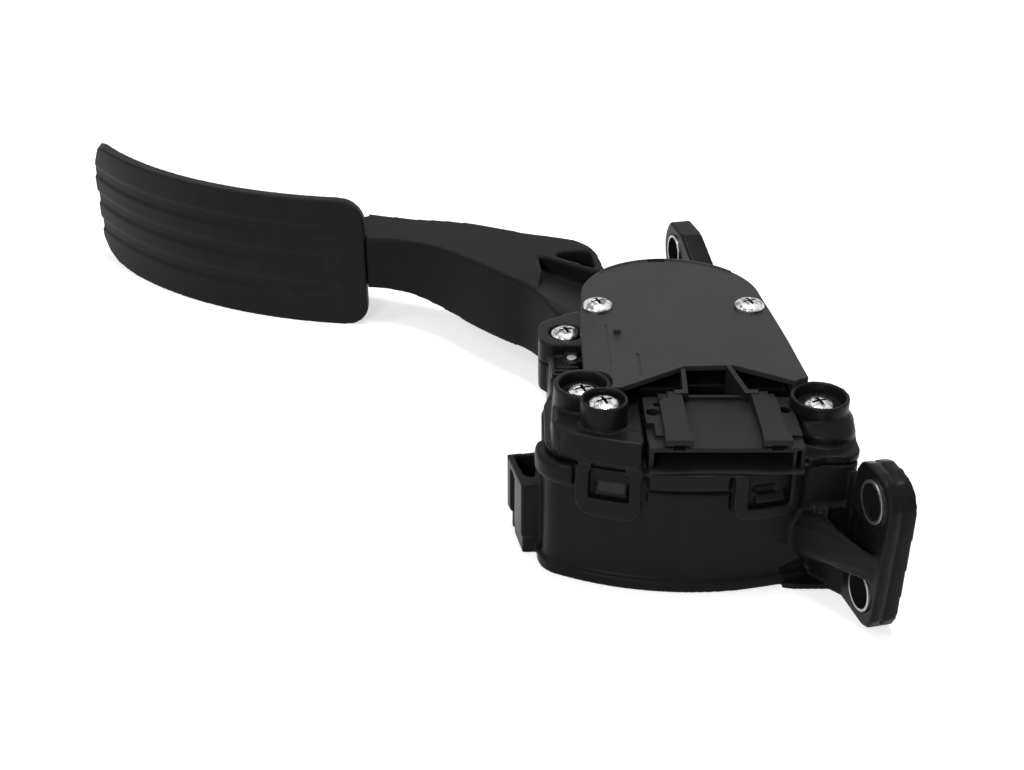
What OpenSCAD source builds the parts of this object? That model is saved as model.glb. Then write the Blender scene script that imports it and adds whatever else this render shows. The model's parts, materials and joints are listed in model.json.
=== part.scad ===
// Drive-by-wire accelerator pedal module, lying on its side.
// Units are millimetres. The origin is the middle of the two-sleeve flange pattern on the mounting face.
// +Y leaves the mounting face toward the bulkhead, +Z is the pedal's swing axis, +X points to the plug end.
// The housing is drawn in its own frame: swing axis at the origin, plug end toward -Y, mounting side toward +X.

/* [Mounting] */
// Angle from the mounting face to the housing's own frame, degrees
body_angle = 77; // [75:0.5:79]
// Distance between the two flange sleeves
sleeve_spacing = 28.6; // [27:0.1:30]
// Outer diameter of a mounting sleeve
sleeve_od = 12; // [11.5:0.1:12.4]
// Bore of a mounting sleeve
sleeve_id = 10.2; // [9.6:0.1:10.4]
// Thickness of the flange and of the rear ear
flange_t = 7.6; // [7:0.2:8.4]
// Rear ear sleeve, distance along X from the flange sleeves
ear_sleeve_x = -161.5; // [-163:0.5:-160]
// Rear ear sleeve height over the floor plane
ear_sleeve_z = 41; // [40:0.5:42]

/* [Housing] */
// Height of the lower housing's wall
split_z = 38; // [37:0.5:39]
// Radius of the curved front wall about the swing axis
front_r = 85; // [84:0.5:86]
// Wall thickness of the lower housing
wall_t = 2.6; // [2.2:0.1:3]
// Radius of the round end of the lid
lid_r = 28.5; // [28:0.1:29]
// Height of the rim lip round the bottom
rim_h = 3.6; // [3:0.1:4.5]
// Overhang of the rim lip
rim_out = 1.3; // [1:0.1:1.6]

/* [Cover and lid] */
// Top of the cover deck
deck_z = 45.5; // [45:0.1:46]
// Top of the sensor lid
lid_z = 52; // [51.5:0.1:52.5]
// Top of the right and front-left screw towers
tower_z = 50; // [49:0.5:51]
// Head diameter of the cover and lid screws
head_d = 9.4; // [9:0.1:9.8]
// Shank diameter of the cover and lid screws
shank_d = 4.8; // [4.4:0.1:5]

/* [Pedal] */
// Radius of the curved pad face
pad_r = 152; // [148:1:156]
// Width of the pad
pad_w = 51; // [48:1:54]
// Thickness of the pad
pad_t = 4.6; // [4:0.2:5.2]
// Depth of the three grooves in the pad
groove_d = 0.7; // [0.5:0.1:1.2]
// Swing of the pedal from rest to full travel, degrees
travel = 18; // [16:0.5:18]
// Diameter of the swing shaft
shaft_d = 12; // [11:0.5:13]
// Radius of the arm's hub
hub_r = 14; // [13:0.5:15]

/* [Fits] */
// Radial running clearance of the shaft in its bushes
run_gap = 0.05; // [0.03:0.01:0.08]
// Gap left between pieces that are fixed together
seat_gap = 0.05; // [0.02:0.01:0.1]
// Gap between the moving and the fixed pieces at the stops
stop_gap = 0.5; // [0.4:0.1:1]

/* [Hidden] */
$fn = 48;
e = 0.02;
floor_drop = 24;
pivot = [-51.7, 95.6, 0];
mid_z = pad_w / 2;
in_r = front_r - wall_t;
tail_a = -78;
spring_y = -38;
spring_z = 22;
spring_x0 = -34.9;
spring_x1 = 1;
hub_z0 = 10.3;
hub_z1 = 39.6;
front_y = -front_r;
corner_r = 7.8;
corner_c = [-34.2, -sqrt(pow(front_r - corner_r, 2) - 34.2 * 34.2)];
corner_a = atan2(corner_c[1], corner_c[0]);
ear_screw = [-33.7, -12.5];
tower_r = [35.8, front_y + 22.6];
tower_r_body = tower_r + [1.1, -1.4];
tower_fl = [-25.1, front_y + 16.6];
tower_rl = [-30.4, front_y + 29];
pin_at = [-32.2, -24.2];
pad_root = [-106.29, 83.04];
ring_d = 16.6;
fl_ring_d = 13.3;
rl_top = tower_z + 1.2;
fl_top = tower_z + 3.2;
r_top = tower_z + 0.8;
r_well = r_top - 4.2;
rl_well = rl_top - 4;
fl_well = fl_top - 2.9;
ear_top = 45.2;
ear_well = ear_top - 1.3;
ring_cut = ring_d + 0.4;
lid_box_y = front_y + 46.5;
lid_plate_t = 1.6;
guide_x = -36.75;
lid_screw_x = 23.7;
lid_screw_y = -8.7;
con_x0 = -13.5;
con_x1 = 28.5;
con_y0 = front_y + 1.6;
con_y1 = front_y + 28;
con_z0 = 39.2;
con_z1 = 46.2;

// Point on a circle.
function on_arc(c, r, a) = [c[0] + r * cos(a), c[1] + r * sin(a)];
// Points of an arc from angle a0 to angle a1.
function arc_pts(c, r, a0, a1, n) = [for (i = [0 : n]) on_arc(c, r, a0 + (a1 - a0) * i / n)];
// One point of a smooth curve through p1 and p2.
function smooth_pt(p0, p1, p2, p3, t) =
  0.5 * (2 * p1 + (p2 - p0) * t + (2 * p0 - 5 * p1 + 4 * p2 - p3) * t * t + (3 * p1 - p0 - 3 * p2 + p3) * t * t * t);
// Smooth curve through a short list of stations, n steps between stations.
function smooth(p, n) = let (m = len(p) - 1) concat(
  [for (i = [0 : m - 1], k = [0 : n - 1])
    smooth_pt(p[max(0, i - 1)], p[i], p[i + 1], p[min(m, i + 2)], k / n)],
  [p[m]]);
function reversed(p) = [for (i = [len(p) - 1 : -1 : 0]) p[i]];
// Rounded rectangle as a point list, x0 y0 x1 y1 and the four corner radii from lower left, anticlockwise.
function round_rect(a, b, r, n) = concat(
  arc_pts([a[0] + r[0], a[1] + r[0]], r[0], 180, 270, n),
  arc_pts([b[0] - r[1], a[1] + r[1]], r[1], 270, 360, n),
  arc_pts([b[0] - r[2], b[1] - r[2]], r[2], 0, 90, n),
  arc_pts([a[0] + r[3], b[1] - r[3]], r[3], 90, 180, n));

// Outline of the lower housing, t inside the outer skin.
function house_pts(t) = concat(
  arc_pts([0, 0], front_r - t, corner_a, -69.5, 24),
  t < 4.6 ? arc_pts(on_arc([0, 0], front_r - 4.87, -68.4), 5.2 - t, -60, 10, 5) : [[27.4, front_y + 12.2]],
  [[33.4 - t, -58], [31.4 - t, -34], [28.9 - t, -9]],
  arc_pts([0, 0], 28 - t, -12, 180, 32),
  [[-28 + t, -2 - t]],
  arc_pts([-34.6 + t * 0.7, -10 - t * 0.3], 4.8 - t * 0.3, 110, 180, 4),
  [[-39.4 + t, -16], [-39.4 + t, -40], [-42 + t, -50]],
  arc_pts(corner_c, corner_r - t, 180, 180 + (180 + corner_a) * 5 / 6, 5));

// Outline of the sensor lid, t inside its skin; the front edge steps back round the plug.
function lid_pts(t) = concat(
  arc_pts([0, 0], lid_r - t, 2, 188, 38),
  [[-lid_r - 0.8 + t, -12], [-lid_r - 1.1 + t, front_y + 24.4 + t], [-19.6 + t * 0.4, front_y + 25 + t],
   [-0.8 + t * 0.3, front_y + 37.6 + t], [13.7 - t * 0.3, front_y + 38.2 + t], [29.5 - t * 0.4, front_y + 29 + t],
   [34.4 - t, front_y + 25.6 + t]],
  lid_flank(t));
// Right flank of the lid.
function lid_flank(t) = [[lid_r + 4.7 - t, front_y + 39], [lid_r + 3.7 - t, -33], [lid_r + 2.5 - t, -21],
  [lid_r + 1.4 - t, -11], [lid_r + 0.4 - t, -3]];

// Outline of the closed box under the lid's plate, set back behind the plug, t inside its skin.
function lid_box_pts(t) = concat(
  arc_pts([0, 0], lid_r - t, 2, 188, 38),
  [[-lid_r - 0.8 + t, -12], [-lid_r - 1 + t, lid_box_y + t], [lid_r + 4 - t, lid_box_y + t], [lid_r + 3.7 - t, -33],
   [lid_r + 2.5 - t, -21], [lid_r + 1.4 - t, -11], [lid_r + 0.4 - t, -3]]);

// Outline of the left ear round its screw.
function ear_pts() = concat(
  [[-26, 2.4], [-31.2, 2.4]],
  arc_pts([ear_screw[0] - 3.6, ear_screw[1] + 4.4], 4.9, 135, 180, 4),
  arc_pts([ear_screw[0] - 3.6, ear_screw[1] - 3.4], 4.9, 180, 255, 5),
  [[-33.4, -21.2], [-26, -21.2]]);

module placed() {
  translate([0, 0, -floor_drop])
    rotate([0, 0, body_angle])
      translate(pivot)
        children();
}

// Goes back from the housing frame to the mounting frame.
module at_mount() {
  translate([-pivot[0], -pivot[1], 0])
    rotate([0, 0, -body_angle])
      translate([0, 0, floor_drop])
        children();
}

module bar(a, b) {
  translate(a)
    cube([b[0] - a[0], b[1] - a[1], b[2] - a[2]]);
}

module post(p, d, z0, z1) {
  translate([p[0], p[1], z0])
    cylinder(d = d, h = z1 - z0);
}

// Plate standing on the mounting plane, drawn in X and Z.
module mount_plate(t0, t1) {
  translate([0, -t0, 0])
    rotate([90, 0, 0])
      linear_extrude(height = t1 - t0)
        children();
}

module flange_outline() {
  polygon([[-12.4, -24], [3.2, -24], [6.2, -22.8], [8, -19.4], [8.7, -10], [9.2, 2], [9.7, 12], [9.4, 16.8],
    [7.6, 20.2], [4.5, 22.3], [0, 23], [-5.5, 22.8], [-9.2, 21.2], [-11.2, 17.8], [-11.2, 0], [-12.4, -14]]);
}

module ear_outline() {
  x = ear_sleeve_x;
  z = ear_sleeve_z - floor_drop;
  polygon(concat(
    arc_pts([x, z], 11, 125, 235, 12),
    [[x + 8, z - 13], [x + 47, z - 15.6], [x + 47, z - 9], [x + 38, z - 8.4], [x + 25, z - 3], [x + 19, z + 3],
     [x + 6, z + 8.6]]));
}

// Bracket that carries the flange on the front right corner of the housing.
module bracket() {
  // thick middle web that runs off the curved front wall, with a dished top behind a raised ridge
  difference() {
    hull() {
      post([28.6, front_y + 9.2], 7, 11.4, 19.4);
      bar([33, front_y + 6.4, 11.4], [40.6, front_y + 16, 19.4]);
      at_mount()
        bar([-9.6, -flange_t + 1, -7.8], [8.2, -flange_t + 3, 0.9]);
    }
    hull() {
      bar([36.4, front_y + 7.6, 17.9], [44, front_y + 14, 26]);
      at_mount()
        bar([-9.2, -flange_t - 1.6, -1.2], [5.4, -flange_t, 8]);
    }
  }
  // back wall that closes the space between the side of the housing and the flange
  linear_extrude(height = 25)
    polygon([[31, front_y + 9], [42.6, front_y - 3], [46, front_y - 1.5], [44.6, front_y + 3], [34, front_y + 22],
      [31, front_y + 22]]);
  // foot along the floor
  linear_extrude(height = 1.8)
    polygon([[26, front_y + 1], [29.6, front_y + 0.3], [40.2, front_y + 0.3], [43, front_y - 3.4], [49, front_y],
      [41, front_y + 25], [31, front_y + 25]]);
  // thin rib along the lower edge of the corner block
  hull() {
    bar([33.2, front_y + 4.7, 23.9], [34.2, front_y + 7, 25.2]);
    bar([43.6, front_y + 4.2, 24.9], [44.6, front_y + 7, 26.2]);
  }
}

module housing() {
  color([0.13, 0.13, 0.14])
    placed()
      difference() {
        union() {
          // floor and curved wall
          translate([0, 0, 1.5])
            linear_extrude(height = split_z - 1.5)
              polygon(house_pts(0));
          // rim lip
          linear_extrude(height = rim_h)
            polygon(house_pts(-rim_out));
          // corner block under the right tower
          translate([0, 0, 24.4])
            linear_extrude(height = split_z - 24.4)
              polygon(round_rect([26, front_y + 5.6], [45, front_y + 31.5], [1, 3.5, 4, 1], 5));
          // ear body on the left
          translate([0, 0, 28])
            linear_extrude(height = split_z - 28)
              polygon(ear_pts());
          bracket();
          pocket_block();
          at_mount() {
            mount_plate(0, flange_t)
              flange_outline();
            mount_plate(0, flange_t)
              ear_outline();
          }
        }
        // main cavity
        difference() {
          translate([0, 0, 5])
            linear_extrude(height = split_z)
              polygon(house_pts(wall_t));
          post(tower_fl, 9.6, 4, split_z);
          post(tower_rl, 9.6, 4, split_z);
          post([-lid_screw_x - 9, ear_screw[1] - 1], 8, 4, split_z);
          post([0, 0], 22, 4, hub_z0 - 1.3);
          // ribs that carry the two rubber stops
          rotate([0, 0, tail_a])
            bar([in_r - 17.4, 5.5 + stop_gap + 3.6, 4], [in_r - 8.4, 26, 30]);
          bar([3.2, 19, 4], [7, 33, split_z]);
          // pads that carry the spring guide
          bar([-43, spring_y - 12, 4], [guide_x, spring_y + 12, 36]);
        }
        // doorway for the arm
        translate([0, 0, 9])
          linear_extrude(height = split_z)
            polygon(concat([[0, 0], [3.2, 14]], arc_pts([0, 0], 47, 86.1, 176, 14)));
        // recess under the floor
        translate([0, 0, -1])
          linear_extrude(height = 2.5 + e)
            polygon(house_pts(wall_t + 1));
        // screw holes
        for (p = [tower_fl, tower_rl, ear_screw, tower_r])
          post(p, shank_d + 0.2, 22, split_z + 1);
        // shaft bush seat
        post([0, 0], 16 + 2 * seat_gap, 2.9, hub_z0);
        // sleeve seats and clearance for the housing wall beside the mounting face
        at_mount()
          mount_bores(sleeve_od / 2 + seat_gap);
      }
}

module mount_bores(r) {
  for (z = [-sleeve_spacing / 2, sleeve_spacing / 2])
    translate([0, 1, z])
      rotate([90, 0, 0])
        cylinder(r = r, h = flange_t + 3);
  translate([ear_sleeve_x, 1, ear_sleeve_z - floor_drop])
    rotate([90, 0, 0])
      cylinder(r = r, h = flange_t + 3);
}

// Open-topped clip pocket on the left front corner, with the two catches for the cover tabs.
module pocket_block() {
  difference() {
    union() {
      translate([0, 0, 6])
        linear_extrude(height = 18)
          polygon([[-52, -50.6], [-50.3, -57.3], [-47.8, -67.4], [-40, -67], [-38, -47.8]]);
      linear_extrude(height = 7)
        polygon([[-50.6, -52.2], [-49, -60], [-47.4, -67], [-40, -66.6], [-38, -48.6]]);
    }
    translate([0, 0, 8])
      linear_extrude(height = 22)
        polygon([[-49.6, -51.2], [-48.6, -55.6], [-47, -61.7], [-45.2, -62.6], [-43.8, -62.6], [-43.8, -50.4]]);
    bar([-50.9, -64, -1], [-49.7, -54, 21.4]);
  }
  // rounded swell at the top of the left front corner
  hull()
    for (step = [[1.2, 31.2, 32], [0.4, 31.8, 37.6], [0, 32.8, 36.8], [0.5, 36, 38]])
      translate([0, 0, step[1]])
        linear_extrude(height = step[2] - step[1])
          polygon(concat(arc_pts(corner_c, corner_r + 2.2 - step[0], 160, 272, 12),
            [[-33.9, corner_c[1] - 4], [-37, corner_c[1] + 7]]));
  catch(-15.8, 4.4, 30.8);
  catch(13.6, 4.2, 29.6);
}

// Ramped catch on the front wall, half width w, its lower face at height z.
module catch(a, w, z) {
  rotate([0, 0, a - 90])
    translate([front_r, w, z])
      rotate([90, 0, 0])
        linear_extrude(height = 2 * w)
          polygon([[-1, 0], [1.9, 0], [1.9, 0.9], [-0.2, 3.1], [-1, 3.1]]);
}

// Part of a ring between two radii and two angles measured from the plug direction.
module ring_part(r0, r1, a0, a1, z0, z1) {
  intersection() {
    translate([0, 0, z0])
      difference() {
        cylinder(r = r1, h = z1 - z0, $fn = 180);
        translate([0, 0, -1])
          cylinder(r = r0, h = z1 - z0 + 2, $fn = 180);
      }
    translate([0, 0, z0 - 1])
      linear_extrude(height = z1 - z0 + 2)
        polygon([[0, 0], on_arc([0, 0], 120, a0 - 90), on_arc([0, 0], 124, (a0 + a1) / 2 - 90),
          on_arc([0, 0], 120, a1 - 90)]);
  }
}

// Prism through the front wall at angle a, drawn in the tangent direction and Z.
module front_prism(a, reach) {
  rotate([0, 0, a])
    translate([0, -reach, 0])
      rotate([90, 0, 0])
        linear_extrude(height = 24)
          children();
}

// Snap tab hanging over the front wall: half width w, lower corners of radius r0 and r1, and a window.
module snap_tab(a, w, z0, r0, r1, w0, w1, wz0) {
  intersection() {
    difference() {
      post([0, 0], 2 * front_r + 3.8, z0 - 1, split_z + 0.75, $fn = 180);
      post([0, 0], 2 * front_r + 0.4, z0 - 2, split_z + 2, $fn = 180);
    }
    front_prism(a, front_r - 11)
      difference() {
        polygon(round_rect([-w, z0], [w, split_z + 3], [r0, r1, 0.5, 0.5], 7));
        polygon(round_rect([w0, wz0], [w1, split_z + 0.3], [0.4, 0.4, 0.4, 0.4], 2));
      }
  }
}

module upper_cover() {
  color([0.16, 0.16, 0.17])
    placed()
      difference() {
        union() {
          difference() {
            union() {
              // flat base plate on the housing wall
              translate([0, 0, split_z + seat_gap])
                linear_extrude(height = 2.4)
                  polygon(house_pts(0.7));
              // deck under the lid
              translate([0, 0, split_z + 2])
                linear_extrude(height = deck_z - split_z - 2)
                  polygon(lid_pts(0.4));
              // rounded shoulder under the two left towers
              hull() {
                shoulder(0, split_z + 1, 43.6);
                shoulder(0.35, 43.6, 44.5);
                shoulder(0.9, 44.5, 45.1);
                shoulder(1.9, 45.1, 45.5);
              }
              // corner base under the right tower
              translate([0, 0, split_z + seat_gap])
                linear_extrude(height = 3)
                  polygon(round_rect([27, front_y + 6.4], [45.7, front_y + 31], [2, 5, 6, 2], 6));
              // left ear
              translate([0, 0, split_z + seat_gap])
                linear_extrude(height = ear_top - split_z - seat_gap)
                  polygon(ear_pts());
              // ledge between the ear and the towers
              translate([0, 0, split_z + seat_gap])
                linear_extrude(height = 3)
                  polygon([[-39.2, -13], [-39.2, -46], [-25, -46], [-25, -6], [-33, -6]]);
              // neck and round body of the right tower
              post(tower_r, ring_d - 0.8, split_z + 2, 47.4);
              hull() {
                post(tower_r_body, 14.8, 46.2, 46.5, $fn = 36);
                post(tower_r_body, 16.8, 44.9, 45.3, $fn = 36);
                post([tower_r_body[0], tower_r_body[1] - 4], 18, split_z + 1, 41, $fn = 36);
              }
            }
            // hollow under the deck
            translate([0, 0, split_z - 1])
              linear_extrude(height = 41.8 - split_z + 1)
                polygon(house_pts(6.4));
            // doorway for the arm
            translate([0, 0, split_z - 1])
              linear_extrude(height = 43 - split_z + 1)
                polygon(concat([[-13, 0], [3.2, 13]], arc_pts([0, 0], 47, 86.1, 176, 14)));
            // opening for the plug
            bar([con_x0 - 0.4, front_y - 15, con_z0 - 0.05], [con_x1 + 0.4, front_y + 36.2, 60]);
          }
          // tower rings
          post(tower_rl, ring_d, 40, rl_top);
          post(tower_fl, fl_ring_d, 40, fl_top);
          post(tower_r, ring_d, 47.3, r_top);
          // boss of the locating pin and the small ribs beside it
          post(pin_at, 6.4, split_z + seat_gap, 42.2);
          for (i = [0 : 2])
            bar([-38.6, pin_at[1] - 5.4 - i * 3.2, split_z + 1], [-30, pin_at[1] - 4.4 - i * 3.2, 42.1 + i * 0.5]);
          bar([-38.6, pin_at[1] - 11, split_z + 1], [-37.4, pin_at[1] + 2, 42.6]);
          // bush boss and screw bosses
          post([0, 0], 23, hub_z1 + 0.6, deck_z);
          for (s = [-1, 1])
            post([s * lid_screw_x, lid_screw_y], 8.6, 38.4, deck_z);
          // snap tabs, with the skirt between them
          snap_tab(-16.4, 9.2, 23.2, 5.2, 3.8, -5.4, 6.1, 29.2);
          snap_tab(13.1, 9.7, 24.1, 4.6, 4.6, -5.6, 6.4, 27.8);
          ring_part(front_r + 0.15, front_r + 1.1, -9, 5.6, 34, split_z + 0.65);
          ring_part(front_r - 1.6, front_r + 1.2, -21.4, 23.6, split_z + seat_gap, split_z + 1.05);
          ring_part(front_r - 1.5, front_r + 1.8, -22, -10, split_z + 0.1, split_z + 3);
          ring_part(front_r - 1.4, front_r + 1, 20.9, 23.9, split_z + 0.1, split_z + 2.8);
        }
        // tower wells
        post(tower_fl, 11.5, fl_well, 60);
        post(tower_rl, 13.6, rl_well, 60);
        post(tower_r, 14.4, r_well, 60);
        post(ear_screw, 11, ear_well, 60);
        for (p = [tower_fl, tower_rl, ear_screw, tower_r])
          post(p, shank_d + 0.4, 30, 60);
        for (s = [-1, 1])
          post([s * lid_screw_x, lid_screw_y], shank_d + 0.2, 39.4, 60);
        post([0, 0], 16 + 2 * seat_gap, 30, 60);
        post(pin_at, 3 + 2 * seat_gap, split_z + 0.6, 60);
      }
}

module shoulder(t, z0, z1) {
  translate([0, 0, z0])
    linear_extrude(height = z1 - z0)
      polygon(concat(
        arc_pts([-31, front_y + 18.6], 8.8 - t, 180, 246, 8),
        arc_pts([0, 0], front_r - 3.4 - t, -111.5, -100.4, 6),
        [[-14.2 - t * 0.5, front_y + 35], [-20, front_y + 37.4 - t], [-38.6 + t, front_y + 37.4 - t]]));
}

module sensor_lid() {
  color([0.24, 0.24, 0.25])
    placed()
      difference() {
        union() {
          // plate that overhangs the plug
          translate([0, 0, lid_z - lid_plate_t])
            linear_extrude(height = lid_plate_t)
              polygon(lid_pts(0));
          // closed box round the board
          translate([0, 0, deck_z + 0.6])
            linear_extrude(height = lid_z - deck_z - 0.7)
              polygon(lid_box_pts(0));
          // legs beside the towers
          translate([0, 0, deck_z + 0.6])
            linear_extrude(height = lid_z - deck_z - 0.8)
              polygon([[-lid_r - 0.9, -28], [-lid_r - 1.1, front_y + 24.4], [-20.6, front_y + 25], [-20.6, -28]]);
          translate([0, 0, deck_z + 0.6])
            linear_extrude(height = lid_z - deck_z - 0.8)
              polygon([[29.5, front_y + 29], [34.4, front_y + 25.6], [lid_r + 4.7, front_y + 39],
                [lid_r + 3.7, -33], [29.5, -33]]);
          // little square peg
          translate([-18.8, -26.3, lid_z - e])
            linear_extrude(height = 1.6)
              square([2, 2], center = true);
          // raised edge bead at the round end
          translate([0, 0, lid_z - e])
            linear_extrude(height = 0.35)
              polygon(concat(arc_pts([0, 0], lid_r, 40, 140, 20), arc_pts([0, 0], lid_r - 0.9, 140, 40, 20)));
        }
        // hollow for the board
        difference() {
          translate([0, 0, deck_z])
            linear_extrude(height = 4.5)
              polygon(lid_box_pts(1.9));
          for (s = [-1, 1])
            post([s * lid_screw_x, lid_screw_y], 9, deck_z, lid_z);
          for (p = [[-14, 14], [14, 14], [-12, -30], [20, -30]])
            post(p, 4, deck_z + 3.95, lid_z);
          bar([-lid_r - 2, lid_box_y - 1, deck_z], [-20.6, -18.6, lid_z]);
        }
        // slanted strip along the left flank, fading out toward the screw
        intersection() {
          translate([-29.8, -64, lid_z - 1.7])
            rotate([0, -12, 0])
              bar([-4, -3, 0], [9, 60, 8]);
          translate([-40, -14.5, lid_z])
            rotate([7, 0, 0])
              bar([0, -60, 0], [30, 0, 30]);
        }
        // step line and short step on the lid
        bar([-22.2, -50, lid_z - 0.3], [-21.6, -21, lid_z + 1]);
        bar([-14, -53, lid_z - 0.35], [-13.2, -39.5, lid_z + 1]);
        // small slot in the back edge
        bar([-5, lid_r - 2.1, lid_z - 0.9], [0.6, lid_r - 0.5, lid_z + 1]);
        // clearance round the towers
        post(tower_rl, ring_cut, 40, 60);
        post(tower_r, ring_cut, 40, 60);
        for (s = [-1, 1])
          post([s * lid_screw_x, lid_screw_y], shank_d + 0.4, 40, 60);
      }
}

module lid_seal() {
  color([0.1, 0.1, 0.1])
    placed()
      translate([0, 0, deck_z + seat_gap])
        linear_extrude(height = 0.5)
          difference() {
            union() {
              difference() {
                polygon(lid_box_pts(0.4));
                polygon(lid_box_pts(1.6));
              }
              for (s = [-1, 1])
                translate([s * lid_screw_x, lid_screw_y])
                  circle(d = 9.8);
            }
            for (s = [-1, 1])
              translate([s * lid_screw_x, lid_screw_y])
                circle(d = shank_d + 0.4);
          }
}

module connector_shell() {
  color([0.17, 0.17, 0.18])
    placed()
      difference() {
        union() {
          bar([con_x0, con_y0, con_z0], [con_x1, con_y1, con_z1]);
          // lip under the mouth of the socket
          bar([con_x0, con_y0 - 2, con_z0], [con_x1, con_y0 + e, con_z0 + 0.8]);
          // rear body under the lid's front edge
          bar([con_x0, con_y1 - e, con_z0], [con_x1, front_y + 35.8, 42.6]);
          // side plates
          bar([con_x0, front_y + 7, con_z1 - e], [-9, con_y1, 47.1]);
          bar([24.2, front_y + 7, con_z1 - e], [con_x1, con_y1, 47.1]);
          // rails
          rail(-9.2);
          rail(17.2);
          // upright ribs that rise to the lid
          difference() {
            translate([0, 0, 42.4])
              union() {
                linear_extrude(height = lid_z - 42.4)
                  polygon([[-2.1, front_y + 27], [-0.6, front_y + 27], [-0.5, front_y + 36.6],
                    [-1.9, front_y + 36.6]]);
                linear_extrude(height = lid_z - 42.4)
                  polygon([[-4.6, front_y + 26.6], [-0.6, front_y + 26.6], [-0.6, front_y + 28],
                    [-4.6, front_y + 28]]);
                linear_extrude(height = lid_z - 42.4)
                  polygon([[15.4, front_y + 27], [17, front_y + 27], [12.9, front_y + 37.8],
                    [11.4, front_y + 37.8]]);
                linear_extrude(height = lid_z - 42.4)
                  polygon([[15.4, front_y + 26.6], [19.4, front_y + 26.6], [19.4, front_y + 28],
                    [15.2, front_y + 28]]);
              }
            translate([-10, front_y + 37.6, lid_z])
              rotate([14, 0, 0])
                bar([0, -20, 0], [40, 2, 10]);
          }
          // rear wall of the sunken floor
          bar([-2.4, con_y1 - 0.4, con_z1 - e], [17.4, con_y1 + 0.9, 47.4]);
        }
        // keep only what stands over the base
        bar([-40, front_y - 15, -10], [60, -30, con_z0]);
        // socket
        bar([con_x0 + 1.3, front_y - 15, con_z0 + 0.8], [25.4, front_y + 20.6, 44.9]);
        // narrow slot beside the socket
        bar([26.3, front_y - 15, con_z0 + 0.8], [27.6, front_y + 11, 45.4]);
        // notches under the rail lips
        bar([-7.1, front_y - 15, 45.6], [-3.7, front_y + 4, 47.9]);
        bar([19.3, front_y - 15, 45.6], [22.7, front_y + 4, 47.9]);
        // keyholes in the side plates
        post([-11.2, front_y + 19.6], 3.8, 43.6, 60);
        post([-9.6, front_y + 23.8], 2.3, 43.6, 60);
        post([26, front_y + 20.8], 3.4, 43.6, 60);
        // notch in the left side plate
        bar([con_x0 - 1, front_y + 6, 45.2], [con_x0 + 2.1, front_y + 13.6, 60]);
        // steps at the rear of the rails
        bar([-9.3, front_y + 24.6, 48.2], [-6.6, front_y + 35, 60]);
        bar([22, front_y + 24.6, 48.2], [25, front_y + 35, 60]);
        // slots that the pins pass through
        for (i = [0 : 5])
          bar([-6.5 + i * 5, front_y + 15, 42], [-5.7 + i * 5, front_y + 36, 43]);
      }
}

// Raised rail on the plug's top, with a lip that overhangs the front.
module rail(x) {
  bar([x, front_y + 4, con_z1 - e], [x + 6.8, con_y1, 49]);
  bar([x - 0.3, front_y + 0.4, 47.6], [x + 7.4, front_y + 4.4, 49.4]);
}

module connector_pins() {
  color([0.75, 0.62, 0.32])
    placed()
      for (i = [0 : 5])
        bar([-6.45 + i * 5, front_y + 11.4, 42.1], [-5.75 + i * 5, front_y + 35.6, 42.9]);
}

module sensor_board() {
  color([0.1, 0.3, 0.16])
    placed()
      difference() {
        union() {
          translate([0, 0, 48.2])
            linear_extrude(height = 1.2)
              polygon(concat(arc_pts([0, 0], 19.5, -20, 200, 24), [[-18, lid_box_y + 3.5], [18, lid_box_y + 3.5]]));
          // sensing chip and two smaller parts
          bar([-2.6, -2, 47.9], [2.6, 2, 48.25]);
          bar([-12, -28, 47], [-4, -22, 48.25]);
          bar([4, -31, 47.2], [9, -27, 48.25]);
        }
        for (s = [-1, 1])
          post([s * lid_screw_x, lid_screw_y], 10, 40, 60);
      }
}

module pan_screw(z, len) {
  difference() {
    union() {
      translate([0, 0, z])
        rotate_extrude()
          polygon(concat([[0, 0], [head_d / 2, 0], [head_d / 2, 0.7]],
            [for (a = [10 : 10 : 90]) [head_d / 2 * cos(a), 0.7 + 1.9 * sin(a)]]));
      translate([0, 0, z - len])
        cylinder(d = shank_d, h = len + e);
    }
    for (a = [0, 90])
      rotate([0, 0, a + 20])
        translate([-2.3, -0.45, z + 1.1])
          cube([4.6, 0.9, 4]);
  }
}

module lid_screws() {
  color([0.82, 0.83, 0.85])
    placed()
      for (s = [-1, 1])
        translate([s * lid_screw_x, lid_screw_y, 0])
          pan_screw(lid_z + seat_gap, 12);
}

module cover_screws() {
  color([0.82, 0.83, 0.85])
    placed() {
      translate([tower_fl[0], tower_fl[1], 0])
        pan_screw(fl_well + seat_gap, 24);
      translate([tower_rl[0], tower_rl[1], 0])
        pan_screw(rl_well + seat_gap, 22);
      translate([tower_r[0], tower_r[1], 0])
        pan_screw(r_well + seat_gap, 20);
      translate([ear_screw[0], ear_screw[1], 0])
        pan_screw(ear_well + seat_gap, 18);
    }
}

module sleeve() {
  rotate([90, 0, 0])
    difference() {
      cylinder(d = sleeve_od, h = flange_t + 0.6);
      translate([0, 0, -1])
        cylinder(d = sleeve_id, h = flange_t + 3);
    }
}

module flange_sleeves() {
  color([0.8, 0.81, 0.83])
    for (z = [-sleeve_spacing / 2, sleeve_spacing / 2])
      translate([0, 0, z])
        sleeve();
}

module ear_sleeve() {
  color([0.8, 0.81, 0.83])
    translate([ear_sleeve_x, 0, ear_sleeve_z - floor_drop])
      sleeve();
}

module bush(z0, z1, zf0, zf1) {
  difference() {
    union() {
      post([0, 0], 16, z0, z1);
      post([0, 0], 20, zf0, zf1);
    }
    post([0, 0], shaft_d + 2 * run_gap, z0 - 1, z1 + 1);
  }
}

module lower_bush() {
  color([0.75, 0.72, 0.62])
    placed()
      bush(3, 10, 9.05, 10);
}

module upper_bush() {
  color([0.75, 0.72, 0.62])
    placed()
      bush(40, 45.2, 39.9, 40.15);
}

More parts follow.
